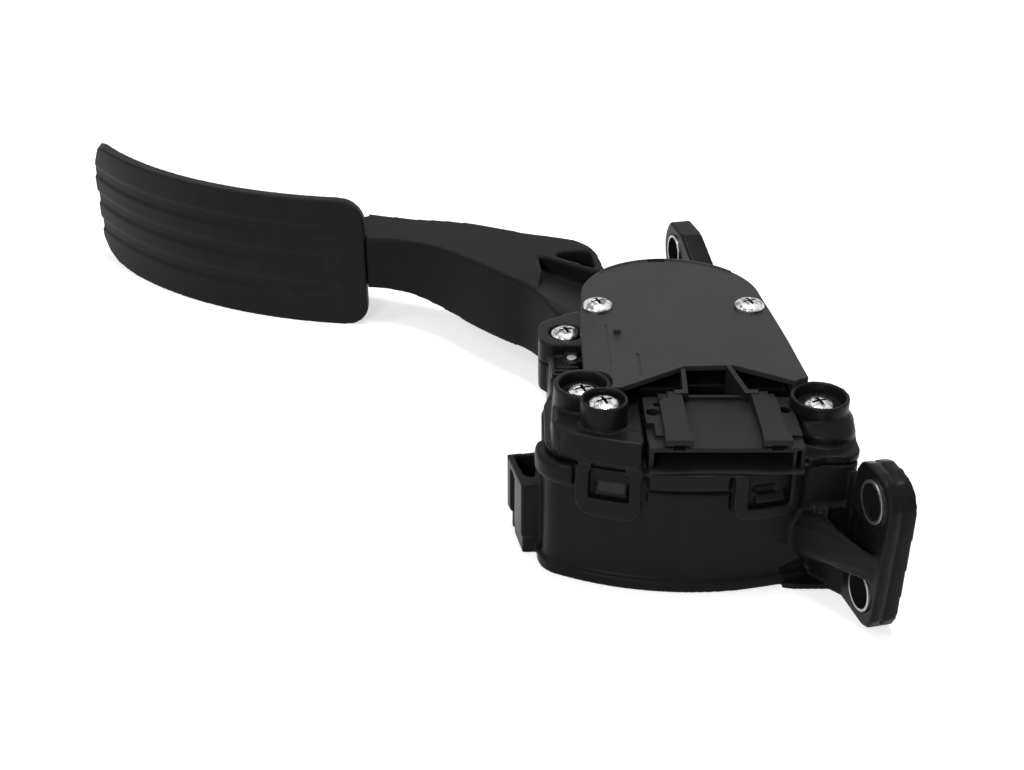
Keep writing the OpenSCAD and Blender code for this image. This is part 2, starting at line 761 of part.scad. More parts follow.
module pivot_shaft() {
  color([0.7, 0.71, 0.73])
    placed()
      difference() {
        union() {
          post([0, 0], shaft_d, 3.4, 45.5);
          post([0, 0], 7, 45.5 - e, 46.4);
        }
        // tooling centres in both ends
        translate([0, 0, 3.3])
          cylinder(d1 = 4, d2 = 0.5, h = 2);
      }
}

module magnet_carrier() {
  color([0.2, 0.2, 0.21])
    placed()
      difference() {
        post([0, 0], 14.5, 45.55, 47.5);
        post([0, 0], 7 + 2 * seat_gap, 45, 46.45);
        post([0, 0], 9 + 2 * seat_gap, 46.7, 48);
      }
}

module magnet() {
  color([0.35, 0.35, 0.37])
    placed()
      post([0, 0], 9, 46.75, 47.45);
}

// Stations along the near and far edges of the arm, seen from above.
near_st = [[pad_root[0] - 0.4, pad_root[1] + 1.2], [-101, 83.9], [-92.3, 81.7], [-82.4, 75.6], [-73.2, 67], [-63.5, 56.2], [-54.4, 46.6],
  [-45.6, 38], [-40.4, 29.6], [-36, 17.4], [-26.4, 5], [-12.5, -6.4]];
far_st = [[pad_root[0] - 0.4, 110], [-78, 98.4], [-51.6, 86.6], [-33, 80.8], [-24.6, 76.6], [-20, 68.6], [-17.6, 53.6],
  [-14, 31], [-11.5, 20], [-8, 11.5]];

module arm_plan() {
  polygon(concat(smooth(near_st, 4), reversed(smooth(far_st, 4))));
}

// Height of the arm along its length, drawn in X and Z.
module arm_side() {
  up = smooth([[-168, 4], [-150, 6], [-120, 9], [-104, 10.2], [-90, 10.8], [-76, 12.3], [-62, 13.3], [-46, 12.8],
    [-20, 12.2], [10, 12.2]], 4);
  translate([0, 70, 0])
    rotate([90, 0, 0])
      translate([0, mid_z, 0])
        linear_extrude(height = 200, center = true)
          polygon(concat(up, [for (i = [len(up) - 1 : -1 : 0]) [up[i][0], -up[i][1]]]));
}

module pedal_arm() {
  color([0.13, 0.13, 0.14])
    placed()
      difference() {
        union() {
          intersection() {
            linear_extrude(height = 60)
              arm_plan();
            arm_side();
          }
          // root behind the pad
          intersection() {
            linear_extrude(height = 60)
              polygon(concat(
                arc_pts(pad_c, pad_r - pad_t - seat_gap, -126, -93, 20),
                [[-101, 92], [-104, 108], [-128, 106], [-160, 113.5]]));
            arm_side();
          }
          post([0, 0], 2 * hub_r, hub_z0, hub_z1);
          // lever inside the housing
          rotate([0, 0, tail_a])
            bar([hub_r - 4, -5.5, 12.4], [in_r - 4.4, 5.5, 34]);
          // spring face
          bar([spring_x1 + 2.6, spring_y - 11, 12.4], [12, spring_y + 11, 32.6]);
        }
        post([0, 0], shaft_d + 2 * seat_gap, 0, 60);
        // room for the pad
        translate([0, 0, -5])
          linear_extrude(height = 70)
            pad_strip(-5, pad_t + seat_gap, pad_a0 - 2, pad_a1 + 0.15);
        // scooped floor beside the housing, deepest at the far side
        intersection() {
          linear_extrude(height = 60)
            polygon([[-41, 63.2], [-36.5, 60.8], [-19.9, 50.2], [-15, 30], [-12.4, 17], [-20, 2], [-34, 4],
              [-44, 29], [-41.6, 36], [-39.9, 50]]);
          translate([-42.6, 33, 38.1])
            rotate([0, 0, -52])
              rotate([-17, 0, 0])
                bar([-40, -3, 0], [60, 60, 30]);
        }
        // deep pocket beyond the diagonal rib
        translate([0, 0, 26])
          linear_extrude(height = 20)
            polygon([[-35, 63.4], [-33.4, 66.2], [-30.8, 67.8], [-23, 69], [-21.7, 66], [-20.6, 53.2]]);
        // weight-saving pockets in the underside
        translate([0, 0, -2])
          linear_extrude(height = 22)
            polygon([[-86, 82], [-74, 74], [-60, 60], [-50, 50], [-43, 60], [-52, 79], [-70, 88]]);
        // cross hole for the friction shoe's key
        rotate([0, 0, tail_a])
          bar([in_r - 7.5, -2.1, 11], [in_r, 2.1, 40]);
        // flat that the spring seat bears on
        bar([-6, spring_y - 12, 5], [spring_x1 + 2.6, spring_y + 12, 40]);
        // seat socket
        translate([spring_x1 + 2, spring_y, spring_z])
          rotate([0, 90, 0])
            cylinder(d = 6 + 2 * seat_gap, h = 4);
      }
}

pad_a0 = -147.2;
pad_a1 = -93.2;
pad_c = [pad_root[0] - pad_r * cos(pad_a1), pad_root[1] - pad_r * sin(pad_a1)];
pad_x0 = pad_c[0] + pad_r * cos(pad_a0);
pad_x1 = pad_root[0];

// Strip of the pad between two depths under its face.
module pad_strip(d0, d1, a0, a1) {
  polygon(concat(arc_pts(pad_c, pad_r - d0, a0, a1, 44), arc_pts(pad_c, pad_r - d1, a1, a0, 44)));
}

module pedal_pad() {
  color([0.12, 0.12, 0.13])
    placed()
      difference() {
        intersection() {
          linear_extrude(height = pad_w)
            pad_strip(0, pad_t, pad_a0, pad_a1);
          // rounded corners seen from the front
          translate([0, 200, 0])
            rotate([90, 0, 0])
              linear_extrude(height = 200)
                polygon(concat(
                  [[pad_x0 + 0.2, 8], [pad_x0 + 3.2, 3.6], [pad_x0 + 8.6, 0.8], [pad_x0 + 17.6, 0]],
                  arc_pts([pad_x1 - 8.4, 9], 9, 270, 360, 9),
                  arc_pts([pad_x1 - 8.9, pad_w - 9.5], 9.5, 0, 90, 9),
                  [[pad_x0 + 8, pad_w], [pad_x0 + 4.8, pad_w - 1.2], [pad_x0 + 1.8, pad_w - 8],
                   [pad_x0 - 0.4, pad_w - 16], [pad_x0 - 1.4, 24], [pad_x0 - 1.2, 13]]));
        }
        for (z = [14.6, 26.4, 38.2])
          translate([0, 0, z - 2.6])
            linear_extrude(height = 5.2)
              pad_strip(-1, groove_d, pad_a0 - 2, pad_a1 - 4.2);
      }
}

module spring_seat() {
  color([0.3, 0.3, 0.31])
    placed()
      translate([spring_x1 + 0.3, spring_y, spring_z])
        rotate([0, 90, 0])
          union() {
            cylinder(d = 21, h = 2.2);
            translate([0, 0, -4])
              cylinder(d = 8.6, h = 4 + e);
            translate([0, 0, 2.2 - e])
              cylinder(d = 6, h = 2.8);
          }
}

module spring_guide() {
  color([0.3, 0.3, 0.31])
    placed()
      translate([guide_x + seat_gap, spring_y, spring_z])
        rotate([0, 90, 0])
          union() {
            cylinder(d = 23, h = 1.6);
            translate([0, 0, 1.6 - e])
              cylinder(d = 8.6, h = 8);
          }
}

// Coil along X from x0 to x1: wire w, mean radius r, a number of turns, with closed ends.
module coil(x0, x1, r, w, turns, n, k) {
  steps = turns * n;
  a = x0 + w / 2;
  b = x1 - w / 2;
  // the pitch grows from the closed end turns to the open middle ones
  function run(t) = let (c = 0.9 / turns, p = w * 1.05 / (b - a))
    t < c ? t / c * p : t > 1 - c ? 1 - (1 - t) / c * p : p + (t - c) / (1 - 2 * c) * (1 - 2 * p);
  pts = [for (i = [0 : steps], j = [0 : k - 1])
    let (t = i / steps, u = 360 * i / n, v = 360 * j / k, q = r + w / 2 * cos(v))
      [a + (b - a) * run(t) + w / 2 * sin(v), q * cos(u), q * sin(u)]];
  sides = [for (i = [0 : steps - 1], j = [0 : k - 1])
    [i * k + j, i * k + (j + 1) % k, (i + 1) * k + (j + 1) % k, (i + 1) * k + j]];
  ends = [[for (j = [k - 1 : -1 : 0]) j], [for (j = [0 : k - 1]) steps * k + j]];
  polyhedron(points = pts, faces = concat(sides, ends), convexity = 10);
}

module outer_return_spring() {
  color([0.62, 0.63, 0.65])
    placed()
      translate([0, spring_y, spring_z])
        coil(spring_x0, spring_x1, 8.9, 1.9, 7, 18, 7);
}

module inner_return_spring() {
  color([0.62, 0.63, 0.65])
    placed()
      translate([0, spring_y, spring_z])
        coil(spring_x0, spring_x1, 5.5, 1.2, 9, 16, 6);
}

module friction_shoe() {
  color([0.55, 0.53, 0.48])
    placed()
      rotate([0, 0, tail_a])
        union() {
          translate([0, 0, 14])
            linear_extrude(height = 18)
              polygon(concat(arc_pts([0, 0], in_r - 0.45, -5, 5, 8), arc_pts([0, 0], in_r - 4.1, 5, -5, 8)));
          bar([in_r - 7.4, -2, 14], [in_r - 3, 2, 32]);
        }
}

module idle_stop_bumper() {
  color([0.09, 0.09, 0.09])
    placed()
      rotate([0, 0, tail_a])
        bar([in_r - 16.4, 5.5 + stop_gap, 15], [in_r - 9.4, 5.5 + stop_gap + 3.6 - seat_gap, 28]);
}

module full_stop_bumper() {
  color([0.09, 0.09, 0.09])
    placed()
      bar([-3.4, 22, 17], [3.15, 30.5, 32]);
}

module locating_pin() {
  color([0.6, 0.6, 0.58])
    placed()
      post(pin_at, 3, split_z + 0.65, 42.6);
}

housing();
upper_cover();
sensor_lid();
lid_seal();
connector_shell();
connector_pins();
sensor_board();
lid_screws();
cover_screws();
flange_sleeves();
ear_sleeve();
lower_bush();
upper_bush();
spring_guide();
outer_return_spring();
inner_return_spring();
idle_stop_bumper();
full_stop_bumper();
locating_pin();
pedal_arm();
pedal_pad();
pivot_shaft();
magnet_carrier();
magnet();
spring_seat();
friction_shoe();
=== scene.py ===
import json
import math

import bpy
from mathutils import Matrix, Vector


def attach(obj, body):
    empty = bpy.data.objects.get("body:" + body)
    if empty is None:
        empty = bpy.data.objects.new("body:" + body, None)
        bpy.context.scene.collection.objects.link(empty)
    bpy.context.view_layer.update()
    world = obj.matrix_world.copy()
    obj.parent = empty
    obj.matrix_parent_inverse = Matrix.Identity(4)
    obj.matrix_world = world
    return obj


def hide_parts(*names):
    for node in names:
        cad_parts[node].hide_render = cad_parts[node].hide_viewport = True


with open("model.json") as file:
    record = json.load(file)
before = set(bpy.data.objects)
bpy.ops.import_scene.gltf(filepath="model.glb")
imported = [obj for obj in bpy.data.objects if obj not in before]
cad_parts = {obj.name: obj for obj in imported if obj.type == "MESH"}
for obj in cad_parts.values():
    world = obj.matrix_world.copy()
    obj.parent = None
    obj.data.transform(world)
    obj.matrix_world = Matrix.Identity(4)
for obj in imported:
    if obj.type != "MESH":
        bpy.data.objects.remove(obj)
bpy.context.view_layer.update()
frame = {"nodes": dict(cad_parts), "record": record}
nodes = frame["nodes"]
slot_of = {entry["node"]: entry["material_slot"] for entry in frame["record"]["subparts"]}
body_of = {node: body for body, held in frame["record"]["behaviour"]["bodies"].items() for node in held}

# Metres in the row frame: the floor that the module lies on, and where the housing's own frame stands
FLOOR_Z = -0.024
HOUSING_TURN = math.radians(77)
HOUSING_PIVOT = (-0.0517, 0.0956)


def housing_point(x, y, z):
    """A point of the housing's own frame, in millimetres, as a point of the row frame in metres."""
    px, py = x / 1000 + HOUSING_PIVOT[0], y / 1000 + HOUSING_PIVOT[1]
    c, s = math.cos(HOUSING_TURN), math.sin(HOUSING_TURN)
    return Vector((c * px - s * py, s * px + c * py, z / 1000 + FLOOR_Z))


# Shader values


class Wire:
    """A value on its way through a node tree. Sums on it add Math nodes."""

    def __init__(self, wiring, socket):
        self.wiring, self.socket = wiring, socket

    def math(self, operation, other, turned=False, clamp=False):
        pair = (other, self) if turned else (self, other)
        settings = {"operation": operation, "use_clamp": clamp}
        return self.wiring.out(self.wiring.node("ShaderNodeMath", settings, dict(enumerate(pair))))

    def __add__(self, other):
        return self.math("ADD", other)

    def __sub__(self, other):
        return self.math("SUBTRACT", other)

    def __rsub__(self, other):
        return self.math("SUBTRACT", other, turned=True)

    def __mul__(self, other):
        return self.math("MULTIPLY", other)

    def __pow__(self, other):
        return self.math("POWER", other)

    __radd__ = __add__
    __rmul__ = __mul__

    def clamped(self):
        return self.math("ADD", 0.0, clamp=True)

    def step(self, low, high):
        """0 below low, 1 above high, smooth between."""
        made = self.wiring.node("ShaderNodeMapRange", {"interpolation_type": "SMOOTHSTEP"},
                                {"Value": self, "From Min": low, "From Max": high})
        return self.wiring.out(made)


class Wiring:
    """The node tree of a material or a world, built up from nothing."""

    def __init__(self, holder):
        holder.use_nodes = True
        self.tree = holder.node_tree
        self.tree.nodes.clear()

    def node(self, kind, settings=None, sockets=None):
        made = self.tree.nodes.new(kind)
        for key, value in (settings or {}).items():
            setattr(made, key, value)
        for key, value in (sockets or {}).items():
            self.feed(made.inputs[key], value)
        return made

    def feed(self, socket, value):
        """Links what varies to a socket, or sets what stays the same on it."""
        if isinstance(value, Wire):
            self.tree.links.new(value.socket, socket)
        else:
            socket.default_value = value

    def out(self, made, name=0):
        return Wire(self, made.outputs[name])

    def shader(self, kind, sockets):
        return self.out(self.node(kind, None, sockets))

    def seen_by(self, *rays):
        """1 for the kinds of ray that are named, 0 for all others."""
        path = self.node("ShaderNodeLightPath")
        seen, *others = (self.out(path, ray) for ray in rays)
        for other in others:
            seen = seen.math("MAXIMUM", other)
        return seen


def grey(level, warmth=0.0):
    return (level * (1 + warmth), level, level * (1 - warmth), 1)


# Corners and hollows that the shader finds: how many looks it takes, and how strongly an edge shows as wear
# and as a painted highlight
LOOKS = 6
EDGE_GAIN = 2.2


class Finish(Wiring):
    """The material of one kind of surface."""

    def __init__(self, name):
        self.material = bpy.data.materials.new(name)
        super().__init__(self.material)
        self.surface = self.node("ShaderNodeBsdfPrincipled")
        self.node("ShaderNodeOutputMaterial", None, {"Surface": self.out(self.surface)})
        self.place = self.out(self.node("ShaderNodeTexCoord"), "Object")

    def set(self, **sockets):
        for key, value in sockets.items():
            self.feed(self.surface.inputs[key.replace("_", " ")], value)

    def noise(self, scale, detail, roughness, stretch=(1, 1, 1), seed=0.0):
        """Clouds of values round 0.5. The seed moves them, and a small stretch draws them out that way."""
        where = self.node("ShaderNodeMapping", None,
                          {"Vector": self.place, "Scale": stretch, "Location": (seed, seed * 0.7, 0)})
        return self.out(self.node("ShaderNodeTexNoise", None, {
            "Vector": self.out(where), "Scale": scale, "Detail": detail, "Roughness": roughness}))

    def blend(self, factor, first, second):
        made = self.node("ShaderNodeMix", {"data_type": "RGBA"}, {0: factor, 6: first, 7: second})
        return self.out(made, 2)

    def bump(self, height, strength, distance, normal=None):
        sockets = {"Height": height, "Strength": strength, "Distance": distance}
        if normal is not None:
            sockets["Normal"] = normal
        return self.out(self.node("ShaderNodeBump", None, sockets))

    def rounded_normal(self, radius):
        return self.out(self.node("ShaderNodeBevel", {"samples": LOOKS}, {"Radius": radius}))

    def edge(self, rounded):
        """1 on the sharp edges that the rounded normal turns over, 0 on flats."""
        flat = self.out(self.node("ShaderNodeNewGeometry"), "Normal")
        dot = self.node("ShaderNodeVectorMath", {"operation": "DOT_PRODUCT"}, {0: rounded, 1: flat})
        return ((1.0 - self.out(dot, "Value")) * EDGE_GAIN).clamped()


# The marks on plastic: how many to a metre, how blue its black is, and the depth of its grain in metres
CLOUDS, STREAKS, FINE_GRAIN, COARSE_GRAIN = 38, 260, 3200, 1100
PLASTIC_WARMTH = -0.02
GRAIN_DEPTH = 0.00012


def moulded_plastic(name, level, roughness, gloss=0.3, grain=0.05, wear_and_highlight=0.5, radius=0.0007, worn_and_highlight_level=None):
    """Glass-filled plastic: fine grain, cloudy sheen, and a paler tone along the edges that is partly scuffs
    and partly a painted highlight.
    """
    f = Finish(name)
    cloud = f.noise(CLOUDS, 4, 0.6, seed=3.1)
    streak = f.noise(STREAKS, 3, 0.65, stretch=(1, 1, 0.25), seed=1.7)
    fine = f.noise(FINE_GRAIN, 2, 0.6)
    coarse = f.noise(COARSE_GRAIN, 2, 0.5, seed=5.5)
    rounded = f.rounded_normal(radius)
    edge = f.edge(rounded)
    # The paler tone along the edges is partly scuffs and partly a painted highlight
    rubbed_and_highlight = (edge * streak.step(0.35, 0.75) * wear_and_highlight).clamped()
    dark = grey(level * 0.82, PLASTIC_WARMTH)
    pale = grey(level * 1.2, PLASTIC_WARMTH)
    worn_and_highlight_tone = grey(worn_and_highlight_level or level * 2.6, PLASTIC_WARMTH)
    tone = f.blend((cloud * 0.6 + streak * 0.4).step(0.3, 0.72), dark, pale)
    f.set(Base_Color=f.blend(rubbed_and_highlight, tone, worn_and_highlight_tone), Specular_IOR_Level=gloss,
          Roughness=(roughness + (cloud - 0.5) * 0.16 + (streak - 0.5) * 0.1 - edge * 0.08),
          Normal=f.bump(fine * 0.6 + coarse * 0.4, grain * 4, GRAIN_DEPTH, rounded))
    return f.material


# The marks on metal and the spots of painted dark reflection on the screws: how many to a metre, and the
# radius of its corners in metres
SCRATCHES, DULL_SPOTS, PAINTED_REFLECTION_SPOTS, SLEEVE_SCRATCHES, SLEEVE_SPOTS = 2600, 240, 620, 1800, 300
METAL_CORNER, ZINC_CORNER = 0.00015, 0.0002


def bright_metal(name, level, roughness, warmth=0.0, brushed=(1, 1, 1)):
    """Plated or ground metal with faint marks."""
    f = Finish(name)
    marks = f.noise(SCRATCHES, 4, 0.7, stretch=brushed, seed=2.0)
    cloud = f.noise(DULL_SPOTS, 3, 0.6, seed=4.2)
    rounded = f.rounded_normal(METAL_CORNER)
    tone = f.blend(cloud.step(0.3, 0.7), grey(level * 0.86, warmth), grey(level, warmth))
    f.set(Base_Color=tone, Metallic=1.0, Roughness=(roughness + (marks - 0.5) * 0.12 + (cloud - 0.5) * 0.1),
          Normal=f.bump(marks, 0.12, 0.00005, rounded))
    return f.material


# Metres: how wide a hollow takes the painted shade of a screw's recess, then the tone of that painted shade
RECESS_REACH = 0.0012
RECESS_PAINTED_SHADE = 0.04


def screw_metal(name, level):
    """Zinc-plated screw: bright, with spots of painted dark reflection and painted shade in its recess."""
    f = Finish(name)
    painted_reflection = f.noise(PAINTED_REFLECTION_SPOTS, 3, 0.6, seed=7.3)
    marks = f.noise(SCRATCHES, 4, 0.7, seed=2.0)
    rounded = f.rounded_normal(ZINC_CORNER)
    # Painted shade: the screw's recess is darkened where the hollow hides it
    hollow = f.node("ShaderNodeAmbientOcclusion", {"samples": LOOKS, "only_local": True},
                    {"Distance": RECESS_REACH})
    out_of_painted_shade = f.out(hollow, "AO").step(0.35, 0.95)
    # The dark spots are a painted reflection of dark surroundings, not dull zinc
    plated = f.blend(painted_reflection.step(0.4, 0.58), grey(level * 0.3), grey(level))
    f.set(Base_Color=f.blend(out_of_painted_shade, grey(RECESS_PAINTED_SHADE), plated), Metallic=1.0,
          Roughness=(0.24 + (marks - 0.5) * 0.2), Normal=f.bump(marks * 0.5 + painted_reflection, 0.3, 0.0002, rounded))
    return f.material


# Metres: the bore of the sleeves, the X and Z of their middles, where the bright rim turns to the painted
# shade of the bore, and the tone of that painted shade
SLEEVE_BORE = 0.0051
SLEEVE_CENTRES = ((0.0, 0.0143), (0.0, -0.0143), (-0.1615, 0.017))
BORE_EDGE = (SLEEVE_BORE + 0.0001, SLEEVE_BORE + 0.00025)
BORE_PAINTED_SHADE = 0.006


def sleeve_metal(name, level):
    """Zinc sleeve: bright on its end faces, with painted shade down its bore."""
    f = Finish(name)
    marks = f.noise(SLEEVE_SCRATCHES, 4, 0.7, seed=2.0)
    cloud = f.noise(SLEEVE_SPOTS, 3, 0.6, seed=4.2)
    split = f.node("ShaderNodeSeparateXYZ", None, {0: f.place})
    x, z = f.out(split, "X"), f.out(split, "Z")
    # The mask of the bore, where painted shade replaces the metal
    inside, *others = (1.0 - (((x - cx) * (x - cx) + (z - cz) * (z - cz)) ** 0.5).step(*BORE_EDGE)
                       for cx, cz in SLEEVE_CENTRES)
    for other in others:
        inside = inside.math("MAXIMUM", other)
    rim = f.blend(cloud.step(0.35, 0.7), grey(level * 0.7), grey(level))
    f.set(Base_Color=f.blend(inside, rim, grey(BORE_PAINTED_SHADE)), Metallic=1.0 - inside, Specular_IOR_Level=0.08,
          Roughness=(0.34 + inside * 0.3 + (marks - 0.5) * 0.15),
          Normal=f.bump(marks, 0.2, 0.00006, f.rounded_normal(ZINC_CORNER)))
    return f.material


RUBBER_GRAIN = 1500


def rubber(name, level):
    """Dull black rubber."""
    f = Finish(name)
    skin = f.noise(RUBBER_GRAIN, 3, 0.6)
    f.set(Base_Color=f.blend(skin, grey(level * 0.8), grey(level * 1.3)), Specular_IOR_Level=0.25,
          Roughness=(0.72 + (skin - 0.5) * 0.1), Normal=f.bump(skin, 0.2, 0.0001))
    return f.material


finishes = {
    "housing_plastic": moulded_plastic("housing_black", 0.007, 0.34, gloss=0.065),
    "cover_plastic": moulded_plastic("cover_black", 0.0075, 0.34, gloss=0.075),
    "lid_plastic": moulded_plastic("lid_dark_grey", 0.026, 0.55, gloss=0.12, grain=0.06, wear_and_highlight=1.2,
                                   radius=0.0005),
    "connector_plastic": moulded_plastic("plug_black", 0.012, 0.46, gloss=0.1, radius=0.0004),
    "arm_plastic": moulded_plastic("arm_black", 0.0098, 0.5, gloss=0.042, grain=0.07, radius=0.0012),
    "pad_plastic": moulded_plastic("pad_black", 0.012, 0.5, gloss=0.06, grain=0.05, radius=0.001),
    "guide_plastic": moulded_plastic("guide_grey", 0.05, 0.5),
    "bush_plastic": moulded_plastic("bush_natural", 0.55, 0.45, wear_and_highlight=0.2, worn_and_highlight_level=0.6),
    "seal_rubber": rubber("seal_black", 0.01),
    "stop_rubber": rubber("stop_black", 0.01),
    "pin_brass": bright_metal("pin_plated", 0.62, 0.3, 0.25),
    "board_resin": moulded_plastic("board_lacquered", 0.05, 0.35, wear_and_highlight=0.1),
    "plated_screw": screw_metal("screw_bright", 0.72),
    "sleeve_steel": sleeve_metal("sleeve_bright", 0.5),
    "shaft_steel": bright_metal("shaft_ground", 0.6, 0.25, brushed=(1, 1, 0.05)),
    "spring_steel": bright_metal("spring_wire", 0.45, 0.35),
    "locating_pin_steel": bright_metal("locating_pin_dull", 0.6, 0.45),
    "magnet_ferrite": bright_metal("magnet_grey", 0.15, 0.5),
}
for node, solid in nodes.items():
    if not solid.material_slots:
        solid.data.materials.append(None)
    for slot in solid.material_slots:
        slot.material = finishes[slot_of[node]]

# Tools of the bench. Places and sizes are in the housing's own frame, in millimetres


def apply_modifier(piece, kind, **settings):
    modifier = piece.modifiers.new(kind.lower(), kind)
    for key, value in settings.items():
        setattr(modifier, key, value)
    bpy.ops.object.modifier_apply(modifier=modifier.name)


def block(low, high, turn=0.0):
    """A block between two corners, turned about its upright axis."""
    middle = housing_point(*((a + b) / 2 for a, b in zip(low, high)))
    bpy.ops.object.select_all(action="DESELECT")
    bpy.ops.mesh.primitive_cube_add(size=1, location=middle,
                                    rotation=(0, 0, HOUSING_TURN + math.radians(turn)))
    made = bpy.context.object
    made.scale = [(b - a) / 1000 for a, b in zip(low, high)]
    bpy.ops.object.transform_apply(location=True, rotation=True, scale=True)
    return made


def drum(place, radius, low, high):
    """An upright cylinder."""
    bpy.ops.object.select_all(action="DESELECT")
    bpy.ops.mesh.primitive_cylinder_add(vertices=96, radius=radius / 1000, depth=(high - low) / 1000,
                                        location=housing_point(place[0], place[1], (low + high) / 2))
    made = bpy.context.object
    bpy.ops.object.transform_apply(location=True, rotation=True, scale=True)
    return made


def hull_of(points):
    """A closed convex block through the points."""
    bpy.ops.object.select_all(action="DESELECT")
    bpy.ops.mesh.primitive_circle_add(vertices=len(points), radius=0.01)
    made = bpy.context.object
    for vertex, point in zip(made.data.vertices, points):
        vertex.co = housing_point(*point)
    bpy.ops.object.mode_set(mode="EDIT")
    bpy.ops.mesh.select_all(action="SELECT")
    bpy.ops.mesh.convex_hull()
    bpy.ops.mesh.select_all(action="SELECT")
    bpy.ops.mesh.normals_make_consistent(inside=False)
    bpy.ops.object.mode_set(mode="OBJECT")
    return made


def carve(piece, tool, operation="DIFFERENCE"):
    bpy.context.view_layer.objects.active = piece
    apply_modifier(piece, "BOOLEAN", object=tool, operation=operation, solver="EXACT")
    bpy.data.objects.remove(tool)


def join(piece, others):
    bpy.ops.object.select_all(action="DESELECT")
    for other in others:
        other.select_set(True)
    piece.select_set(True)
    bpy.context.view_layer.objects.active = piece
    bpy.ops.object.join()


def on_wall(angle, along, radius, height):
    """A point by the front wall: angle round the drum, distance along the tangent, radius and height."""
    a = math.radians(angle)
    return (radius * math.sin(a) + along * math.cos(a), -radius * math.cos(a) + along * math.sin(a), height)


def round_post(centre, steps):
    """The points of a flat outline round a post, each at its own angle and radius."""
    return [(centre[0] + r * math.cos(math.radians(a)), centre[1] + r * math.sin(math.radians(a)))
            for a, r in steps]


def at_height(outline, z):
    """The points of a flat outline, lifted to a height."""
    return [(x, y, z) for x, y in outline]


# The bracket between front wall and flange: the crest of its ridge, the floor of the scoop behind it, the
# face of the web in front, and the wall that closes the scoop beside the flange
RIDGE = [(37, -82.5, 21.3), (39, -90.5, 21.4), (45.6, -103.5, 24.6)]
SCOOP_FLOOR = [(38, -80.6, 18.8), (40, -84, 17), (42.2, -88, 16.2), (44.8, -98, 18.8), (44.4, -80.6, 17.6)]
WEB_FACE = [(28.5, -80.4, 20), (27, -80.7, 12), (30.5, -82.6, 9.6), (33.5, -85.3, 12.4), (38, -91, 15.9),
            (44.5, -102, 18.6), (42, -84, 13), (30, -76, 8), (30, -76, 23.6), (30, -80.2, 23.6),
            (36.5, -80.9, 23.4), (45.8, -101, 22)]
FLANGE_WALL = [(45, -79.1), (42.6, -79.1), (41.8, -86.2), (46, -85.4)]
SCOOP_OPEN_TOP, FLOOR_THICKNESS = 30, 5
FLANGE_WALL_FOOT, FLANGE_WALL_TOP = 12, 36.5

# The wide curve at the foot of the web: the block that it is cut from, the slope of its foot, and its round
CURVE_BLOCK = ((21.6, -86.4, 3.8), (36, -78.5, 14))
FOOT_SLOPE, FOOT_SLOPE_AT = 0.85, (27, -84, 5.9)
CURVE_MIDDLE, CURVE_RADIUS = (25.6, -95.6), 14


def web_fillet():
    """The wide curve in which the front wall runs out into the web of the bracket."""
    made = block(*CURVE_BLOCK)
    bpy.ops.object.mode_set(mode="EDIT")
    bpy.ops.mesh.select_all(action="SELECT")
    across = (housing_point(1, 0, 0) - housing_point(0, 0, 0)).normalized()
    bpy.ops.mesh.bisect(plane_co=housing_point(*FOOT_SLOPE_AT), use_fill=True, clear_inner=True,
                        plane_no=Vector((0, 0, 1)) - across * FOOT_SLOPE)
    bpy.ops.object.mode_set(mode="OBJECT")
    carve(made, drum(CURVE_MIDDLE, CURVE_RADIUS, -5, 40))
    return made


def scoop_tool():
    """The block that cuts the scoop, open at the top."""
    edge = RIDGE + SCOOP_FLOOR
    return hull_of(edge + [(x, y, SCOOP_OPEN_TOP) for x, y, z in edge])


def bracket_web():
    """The web of the bracket: it runs off the front wall, with a scoop behind a raised ridge."""
    web = hull_of(WEB_FACE + RIDGE)
    carve(web, scoop_tool())
    return web


def scoop_floor():
    """The plate that closes the scoop from below."""
    return hull_of(SCOOP_FLOOR + [(x, y, z - FLOOR_THICKNESS) for x, y, z in SCOOP_FLOOR])


def flange_wall():
    """The upright wall between the scoop and the flange."""
    return hull_of(at_height(FLANGE_WALL, FLANGE_WALL_FOOT) + at_height(FLANGE_WALL, FLANGE_WALL_TOP))


# The snap tabs on the front wall. A catch is its angle round the drum, half its width, and its profile as
# radius and height. The slots lie beside the tabs, and a small one lies in the right tab's window
LEFT_CATCH = (-15.8, 4.5, ((84, 31.2), (86.9, 31.2), (86.9, 31.7), (84.9, 34.9), (84, 34.9)))
RIGHT_CATCH = (13.6, 4.4, ((84, 29.8), (86.8, 29.8), (86.8, 30.4), (86, 31.4), (84, 31.4)))
TAB_SLOTS = (((-14.7, -86, 29), (-13.5, -83, 38.5)), ((9.1, -86.4, 27), (10.3, -83.4, 38.5)))
RIGHT_WINDOW = 13.4

# The groove round the front wall between the tabs: its lower and upper edge, the radius outside it and of its
# floor, and its reach
GROOVE_LOW, GROOVE_HIGH = 32.3, 33.6
GROOVE_OPEN, GROOVE_FLOOR = 86, 83.7
GROOVE_REACH = ((-13.5, -90, 30), (9.2, -80, 36))


def catch(angle, half, profile):
    return hull_of([on_wall(angle, along, radius, z) for along in (-half, half) for radius, z in profile])


def tab_groove():
    """The groove that runs round the front wall under the skirt of the tabs."""
    groove = drum((0, 0), GROOVE_OPEN, GROOVE_LOW, GROOVE_HIGH)
    carve(groove, drum((0, 0), GROOVE_FLOOR, 31, 35))
    carve(groove, block(*GROOVE_REACH), "INTERSECT")
    return groove


def window_slot():
    """The dark slot above the catch in the right window."""
    return hull_of([on_wall(RIGHT_WINDOW, along, radius, z)
                    for along in (-4.4, 2.2) for radius in (84.1, 86) for z in (31.9, 34.2)])


def shape_housing(piece):
    """Cuts the scoop, the groove and the slots, and adds the bracket's web and the catches."""
    carve(piece, scoop_tool())
    carve(piece, tab_groove())
    for corners in TAB_SLOTS:
        carve(piece, block(*corners))
    carve(piece, window_slot())
    join(piece, [web_fillet(), bracket_web(), scoop_floor(), catch(*LEFT_CATCH), catch(*RIGHT_CATCH),
                 flange_wall()])


